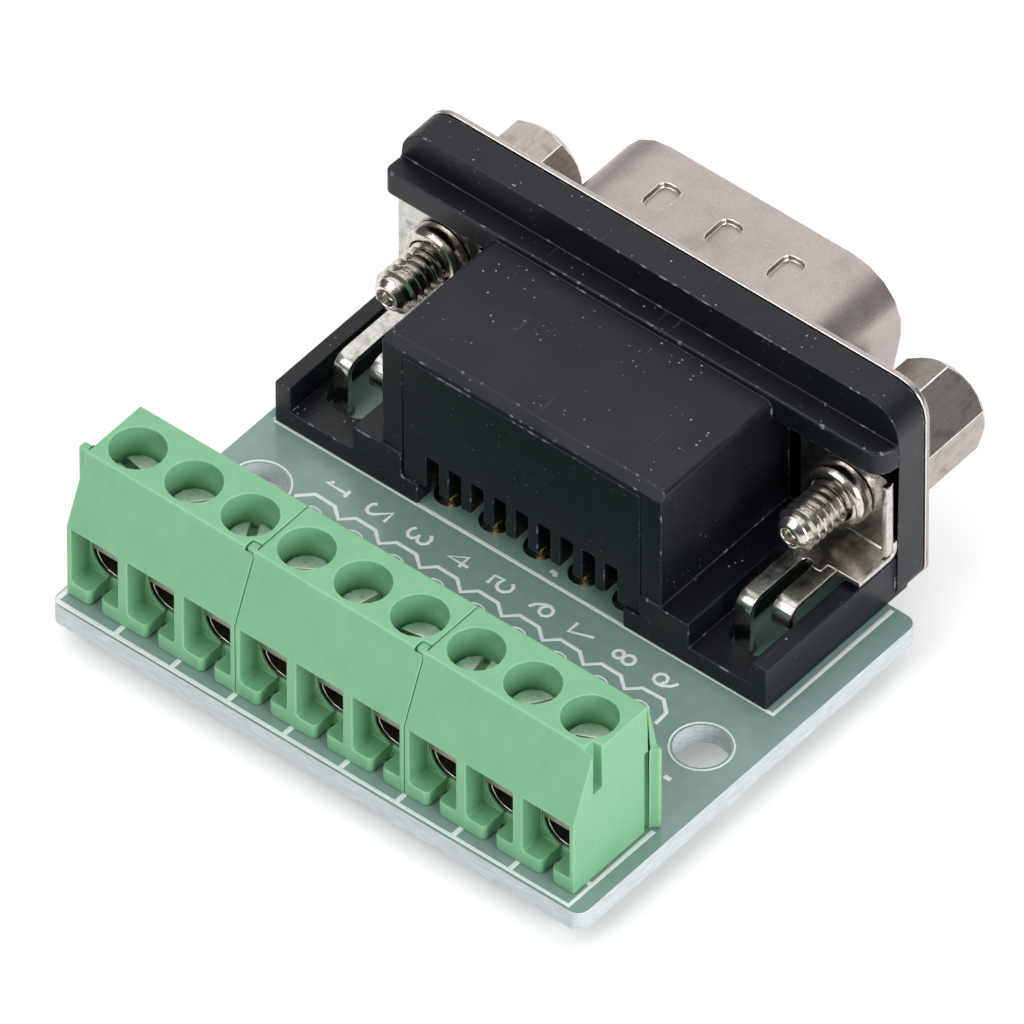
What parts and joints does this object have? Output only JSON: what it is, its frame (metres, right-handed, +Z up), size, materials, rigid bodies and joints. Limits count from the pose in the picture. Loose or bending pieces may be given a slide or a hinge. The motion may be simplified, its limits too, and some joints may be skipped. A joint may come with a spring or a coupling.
{
  "type": "d-sub terminal block adapter",
  "caption": "Small circuit board that joins a D-shaped plug connector to a row of screw terminal blocks.",
  "frame": {"origin": "under the middle of the whole object, level with the ends of the solder tails", "axes": "+Y from the terminals toward the plug, +Z up out of the board, +X to the right along the terminals"},
  "size_m": [0.0332, 0.0344, 0.0151],
  "materials": {
    "board": "green-grey solder mask",
    "terminal_green": "moulded, satin",
    "screw_steel": "zinc plated",
    "tin_plate": "tin plated",
    "black_plastic": "moulded, satin",
    "nickel": "nickel plated",
    "gold_plate": "gold flash"
  },
  "bodies": {
    "adapter": {"pcb": "board", "terminal_housing_1": "terminal_green", "terminal_housing_2": "terminal_green", "terminal_housing_3": "terminal_green", "terminal_contact_1": "tin_plate", "terminal_contact_2": "tin_plate", "terminal_contact_3": "tin_plate", "terminal_contact_4": "tin_plate", "terminal_contact_5": "tin_plate", "terminal_contact_6": "tin_plate", "terminal_contact_7": "tin_plate", "terminal_contact_8": "tin_plate", "terminal_contact_9": "tin_plate", "dsub_housing": "black_plastic", "pin_organizer": "black_plastic", "dsub_shell": "nickel", "contact_pin_1": "gold_plate", "contact_pin_2": "gold_plate", "contact_pin_3": "gold_plate", "contact_pin_4": "gold_plate", "contact_pin_5": "gold_plate", "contact_pin_6": "gold_plate", "contact_pin_7": "gold_plate", "contact_pin_8": "gold_plate", "contact_pin_9": "gold_plate", "board_bracket_left": "nickel", "board_bracket_right": "nickel", "jackscrew_left": "nickel", "jackscrew_right": "nickel", "bracket_nut_left": "nickel", "bracket_nut_right": "nickel"},
    "screw_1": {"terminal_screw_1": "screw_steel"},
    "cage_1": {"clamp_cage_1": "tin_plate"},
    "screw_2": {"terminal_screw_2": "screw_steel"},
    "cage_2": {"clamp_cage_2": "tin_plate"},
    "screw_3": {"terminal_screw_3": "screw_steel"},
    "cage_3": {"clamp_cage_3": "tin_plate"},
    "screw_4": {"terminal_screw_4": "screw_steel"},
    "cage_4": {"clamp_cage_4": "tin_plate"},
    "screw_5": {"terminal_screw_5": "screw_steel"},
    "cage_5": {"clamp_cage_5": "tin_plate"},
    "screw_6": {"terminal_screw_6": "screw_steel"},
    "cage_6": {"clamp_cage_6": "tin_plate"},
    "screw_7": {"terminal_screw_7": "screw_steel"},
    "cage_7": {"clamp_cage_7": "tin_plate"},
    "screw_8": {"terminal_screw_8": "screw_steel"},
    "cage_8": {"clamp_cage_8": "tin_plate"},
    "screw_9": {"terminal_screw_9": "screw_steel"},
    "cage_9": {"clamp_cage_9": "tin_plate"}
  },
  "joints": [
    {"name": "screw_turn_1", "type": "hinge", "parent": "adapter", "child": "screw_1", "pos_m": [-0.0144, -0.01298, 0.0082], "axis": [0, 0, -1], "range_deg": [0, 1196]},
    {"name": "cage_lift_1", "type": "slide", "parent": "adapter", "child": "cage_1", "axis": [0, 0, 1], "range_m": [0, 0.00133]},
    {"name": "screw_turn_2", "type": "hinge", "parent": "adapter", "child": "screw_2", "pos_m": [-0.0109, -0.01298, 0.0082], "axis": [0, 0, -1], "range_deg": [0, 1196]},
    {"name": "cage_lift_2", "type": "slide", "parent": "adapter", "child": "cage_2", "axis": [0, 0, 1], "range_m": [0, 0.00133]},
    {"name": "screw_turn_3", "type": "hinge", "parent": "adapter", "child": "screw_3", "pos_m": [-0.00741, -0.01298, 0.0082], "axis": [0, 0, -1], "range_deg": [0, 1196]},
    {"name": "cage_lift_3", "type": "slide", "parent": "adapter", "child": "cage_3", "axis": [0, 0, 1], "range_m": [0, 0.00133]},
    {"name": "screw_turn_4", "type": "hinge", "parent": "adapter", "child": "screw_4", "pos_m": [-0.00391, -0.01298, 0.0082], "axis": [0, 0, -1], "range_deg": [0, 1196]},
    {"name": "cage_lift_4", "type": "slide", "parent": "adapter", "child": "cage_4", "axis": [0, 0, 1], "range_m": [0, 0.00133]},
    {"name": "screw_turn_5", "type": "hinge", "parent": "adapter", "child": "screw_5", "pos_m": [-0.0004, -0.01298, 0.0082], "axis": [0, 0, -1], "range_deg": [0, 1196]},
    {"name": "cage_lift_5", "type": "slide", "parent": "adapter", "child": "cage_5", "axis": [0, 0, 1], "range_m": [0, 0.00133]},
    {"name": "screw_turn_6", "type": "hinge", "parent": "adapter", "child": "screw_6", "pos_m": [0.0031, -0.01298, 0.0082], "axis": [0, 0, -1], "range_deg": [0, 1196]},
    {"name": "cage_lift_6", "type": "slide", "parent": "adapter", "child": "cage_6", "axis": [0, 0, 1], "range_m": [0, 0.00133]},
    {"name": "screw_turn_7", "type": "hinge", "parent": "adapter", "child": "screw_7", "pos_m": [0.0066, -0.01298, 0.0082], "axis": [0, 0, -1], "range_deg": [0, 1196]},
    {"name": "cage_lift_7", "type": "slide", "parent": "adapter", "child": "cage_7", "axis": [0, 0, 1], "range_m": [0, 0.00133]},
    {"name": "screw_turn_8", "type": "hinge", "parent": "adapter", "child": "screw_8", "pos_m": [0.01009, -0.01298, 0.0082], "axis": [0, 0, -1], "range_deg": [0, 1196]},
    {"name": "cage_lift_8", "type": "slide", "parent": "adapter", "child": "cage_8", "axis": [0, 0, 1], "range_m": [0, 0.00133]},
    {"name": "screw_turn_9", "type": "hinge", "parent": "adapter", "child": "screw_9", "pos_m": [0.01359, -0.01298, 0.0082], "axis": [0, 0, -1], "range_deg": [0, 1196]},
    {"name": "cage_lift_9", "type": "slide", "parent": "adapter", "child": "cage_9", "axis": [0, 0, 1], "range_m": [0, 0.00133]}
  ],
  "couplings": [
    {"joint": "screw_turn_1", "follows": "cage_lift_1", "rad_per_m": 15708},
    {"joint": "screw_turn_2", "follows": "cage_lift_2", "rad_per_m": 15708},
    {"joint": "screw_turn_3", "follows": "cage_lift_3", "rad_per_m": 15708},
    {"joint": "screw_turn_4", "follows": "cage_lift_4", "rad_per_m": 15708},
    {"joint": "screw_turn_5", "follows": "cage_lift_5", "rad_per_m": 15708},
    {"joint": "screw_turn_6", "follows": "cage_lift_6", "rad_per_m": 15708},
    {"joint": "screw_turn_7", "follows": "cage_lift_7", "rad_per_m": 15708},
    {"joint": "screw_turn_8", "follows": "cage_lift_8", "rad_per_m": 15708},
    {"joint": "screw_turn_9", "follows": "cage_lift_9", "rad_per_m": 15708}
  ]
}
